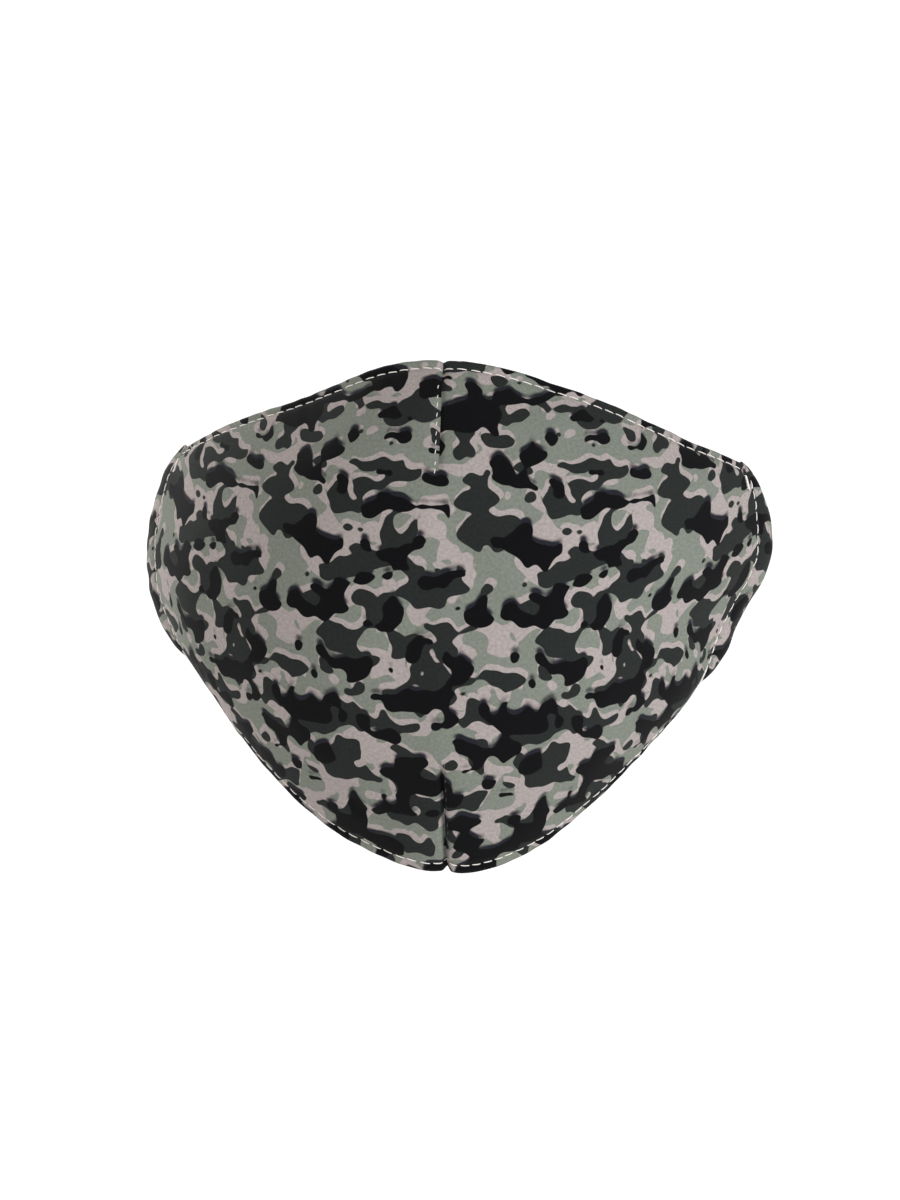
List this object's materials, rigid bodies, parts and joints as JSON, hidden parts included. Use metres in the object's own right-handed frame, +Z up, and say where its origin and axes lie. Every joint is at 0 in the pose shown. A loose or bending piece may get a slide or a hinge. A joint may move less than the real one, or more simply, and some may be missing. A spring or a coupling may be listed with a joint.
{
  "type": "cloth face mask",
  "caption": "Contoured camouflage cloth face mask with darted nose and chin, topstitched hems, nose wire and side elastic casings.",
  "frame": {"origin": "the centre of the face opening, on the centre plane and level with the middle of the side casings", "axes": "+Z up as worn, -Y the way the wearer looks, +X towards the wearer's left"},
  "size_m": [0.1874, 0.0781, 0.149],
  "materials": {
    "camo_cloth": "matt brushed polyester knit, printed in a four-colour camouflage",
    "interlining": "matt non-woven felt",
    "lining": "matt fine-knit cloth",
    "hem_thread": "satin polyester thread",
    "dark_thread": "satin polyester thread",
    "nose_wire": "satin flat wire",
    "wire_sleeve": "matt woven tape"
  },
  "bodies": {
    "right_half": {"bar_tacks_right": "hem_thread", "chin_dart_thread": "dark_thread", "chin_hem_thread_centre": "hem_thread", "chin_hem_thread_right": "hem_thread", "interlining_centre": "interlining", "interlining_right": "interlining", "lining_centre": "lining", "lining_right": "lining", "nose_dart_thread": "hem_thread", "nose_wire": "nose_wire", "outer_cloth_centre": "camo_cloth", "outer_cloth_right": "camo_cloth", "side_casing_right": "camo_cloth", "side_seam_thread_right": "hem_thread", "top_hem_thread_centre": "hem_thread", "top_hem_thread_right": "hem_thread", "wire_sleeve": "wire_sleeve"},
    "left_half": {"bar_tacks_left": "hem_thread", "chin_hem_thread_left": "hem_thread", "interlining_left": "interlining", "lining_left": "lining", "outer_cloth_left": "camo_cloth", "side_casing_left": "camo_cloth", "side_seam_thread_left": "hem_thread", "top_hem_thread_left": "hem_thread"}
  },
  "joints": [
    {"name": "centre_fold", "type": "hinge", "parent": "right_half", "child": "left_half", "pos_m": [0, -0.06, 0], "axis": [0, 0, 1], "range_deg": [0, 80], "deforming": ["chin_dart_thread", "chin_hem_thread_centre", "interlining_centre", "lining_centre", "nose_dart_thread", "nose_wire", "outer_cloth_centre", "top_hem_thread_centre", "wire_sleeve"]}
  ]
}
